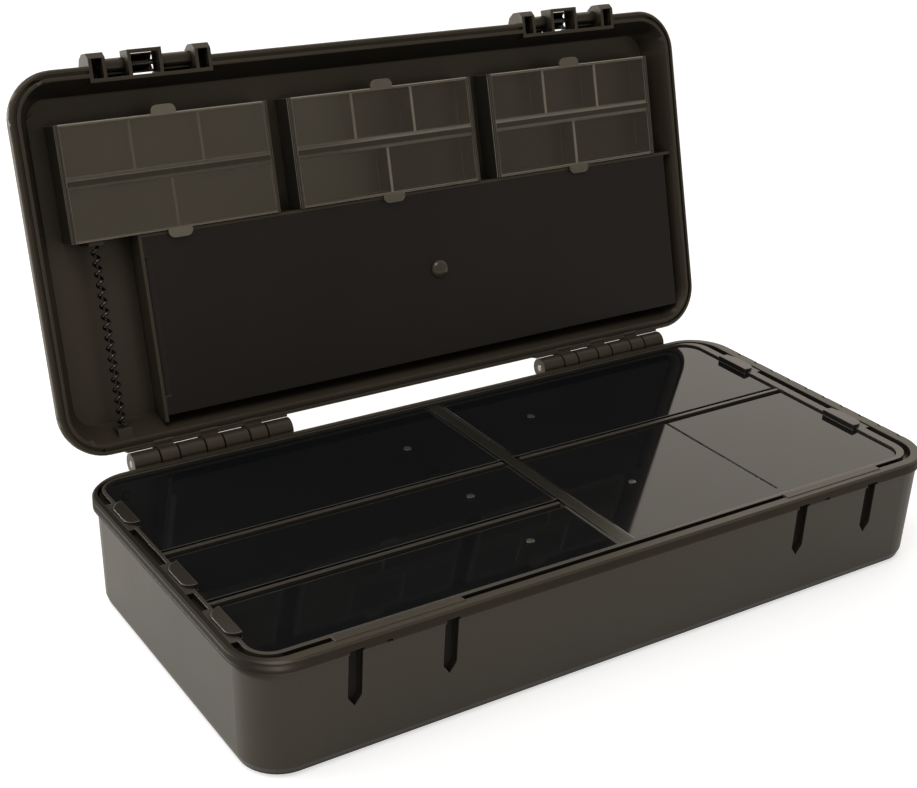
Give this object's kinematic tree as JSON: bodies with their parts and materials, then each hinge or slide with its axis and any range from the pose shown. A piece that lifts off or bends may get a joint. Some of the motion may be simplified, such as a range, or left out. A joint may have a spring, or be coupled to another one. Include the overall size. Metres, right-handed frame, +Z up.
{
  "type": "fishing tackle box",
  "caption": "Portable moulded tackle box with a hinged lid, flap-lidded compartments, small flap boxes, a rig board and a rig spring in the lid, and front latches.",
  "frame": {"origin": "centre of the tub's flat underside", "axes": "+X along the long side to the right as seen from the latches, +Y from the latches to the hinge, +Z up; drawn with the lid open"},
  "size_m": [0.373, 0.267, 0.234],
  "materials": {
    "body_plastic": "fine moulded texture, semi-matte dark olive brown",
    "tray_plastic": "smooth semi-matte dark olive brown",
    "latch_plastic": "semi-matte dark olive brown",
    "smoked_lid_plastic": "polished smoked plastic, nearly black",
    "small_box_plastic": "polished smoked plastic",
    "clear_flap_plastic": "polished smoked transparent plastic",
    "board_plastic": "semi-matte dark brown",
    "pin_steel": "drawn wire",
    "spring_steel": "bright spring wire"
  },
  "bodies": {
    "tub": {"tub": "body_plastic", "compartment_tray": "tray_plastic", "centre_spine": "tray_plastic", "main_hinge_pin_left": "pin_steel", "main_hinge_pin_right": "pin_steel"},
    "lid": {"lid_shell": "body_plastic", "latch_pin_left": "pin_steel", "latch_pin_right": "pin_steel", "latch_spring_left": "spring_steel", "latch_spring_right": "spring_steel", "small_box_left": "small_box_plastic", "small_box_middle": "small_box_plastic", "small_box_right": "small_box_plastic", "rig_board": "board_plastic", "rig_board_stud": "board_plastic", "rig_spring": "spring_steel"},
    "latch_left": {"latch_lever_left": "latch_plastic"},
    "latch_right": {"latch_lever_right": "latch_plastic"},
    "lid_left_back": {"compartment_lid_left_back": "smoked_lid_plastic"},
    "lid_left_middle": {"compartment_lid_left_middle": "smoked_lid_plastic"},
    "lid_left_front": {"compartment_lid_left_front": "smoked_lid_plastic"},
    "lid_right_back": {"compartment_lid_right_back": "smoked_lid_plastic"},
    "lid_right_front": {"compartment_lid_right_front": "smoked_lid_plastic"},
    "flap_left_upper": {"small_box_left_upper_flap": "clear_flap_plastic"},
    "flap_left_lower": {"small_box_left_lower_flap": "clear_flap_plastic"},
    "flap_middle_upper": {"small_box_middle_upper_flap": "clear_flap_plastic"},
    "flap_middle_lower": {"small_box_middle_lower_flap": "clear_flap_plastic"},
    "flap_right_upper": {"small_box_right_upper_flap": "clear_flap_plastic"},
    "flap_right_lower": {"small_box_right_lower_flap": "clear_flap_plastic"}
  },
  "joints": [
    {"name": "lid_hinge", "type": "hinge", "parent": "tub", "child": "lid", "pos_m": [0, 0.0933, 0.0548], "axis": [-1, 0, 0], "range_deg": [-105.4, 0]},
    {"name": "latch_left_pivot", "type": "hinge", "parent": "lid", "child": "latch_left", "pos_m": [-0.1175, 0.14978, 0.22595], "axis": [-1, 0, 0], "range_deg": [-200, 0]},
    {"name": "latch_right_pivot", "type": "hinge", "parent": "lid", "child": "latch_right", "pos_m": [0.1175, 0.14978, 0.22595], "axis": [-1, 0, 0], "range_deg": [-200, 0]},
    {"name": "compartment_lid_left_back_hinge", "type": "hinge", "parent": "tub", "child": "lid_left_back", "pos_m": [-0.0039, 0.04668, 0.0532], "axis": [0, 1, 0], "range_deg": [0, 85]},
    {"name": "compartment_lid_left_middle_hinge", "type": "hinge", "parent": "tub", "child": "lid_left_middle", "pos_m": [-0.0039, -0.0117, 0.0532], "axis": [0, 1, 0], "range_deg": [0, 85]},
    {"name": "compartment_lid_left_front_hinge", "type": "hinge", "parent": "tub", "child": "lid_left_front", "pos_m": [-0.0039, -0.0559, 0.0532], "axis": [0, 1, 0], "range_deg": [0, 85]},
    {"name": "compartment_lid_right_back_hinge", "type": "hinge", "parent": "tub", "child": "lid_right_back", "pos_m": [0.0039, 0.04668, 0.0532], "axis": [0, -1, 0], "range_deg": [0, 85]},
    {"name": "compartment_lid_right_front_hinge", "type": "hinge", "parent": "tub", "child": "lid_right_front", "pos_m": [0.0039, -0.0334, 0.0532], "axis": [0, -1, 0], "range_deg": [0, 85]},
    {"name": "small_box_left_upper_flap_hinge", "type": "hinge", "parent": "lid", "child": "flap_left_upper", "pos_m": [-0.1152, 0.12998, 0.18193], "axis": [1, 0, 0], "range_deg": [0, 86]},
    {"name": "small_box_left_lower_flap_hinge", "type": "hinge", "parent": "lid", "child": "flap_left_lower", "pos_m": [-0.1152, 0.12881, 0.17768], "axis": [-1, 0, 0], "range_deg": [0, 86]},
    {"name": "small_box_middle_upper_flap_hinge", "type": "hinge", "parent": "lid", "child": "flap_middle_upper", "pos_m": [0, 0.12998, 0.18193], "axis": [1, 0, 0], "range_deg": [0, 86]},
    {"name": "small_box_middle_lower_flap_hinge", "type": "hinge", "parent": "lid", "child": "flap_middle_lower", "pos_m": [0, 0.12881, 0.17768], "axis": [-1, 0, 0], "range_deg": [0, 86]},
    {"name": "small_box_right_upper_flap_hinge", "type": "hinge", "parent": "lid", "child": "flap_right_upper", "pos_m": [0.1152, 0.12998, 0.18193], "axis": [1, 0, 0], "range_deg": [0, 86]},
    {"name": "small_box_right_lower_flap_hinge", "type": "hinge", "parent": "lid", "child": "flap_right_lower", "pos_m": [0.1152, 0.12881, 0.17768], "axis": [-1, 0, 0], "range_deg": [0, 86]}
  ]
}
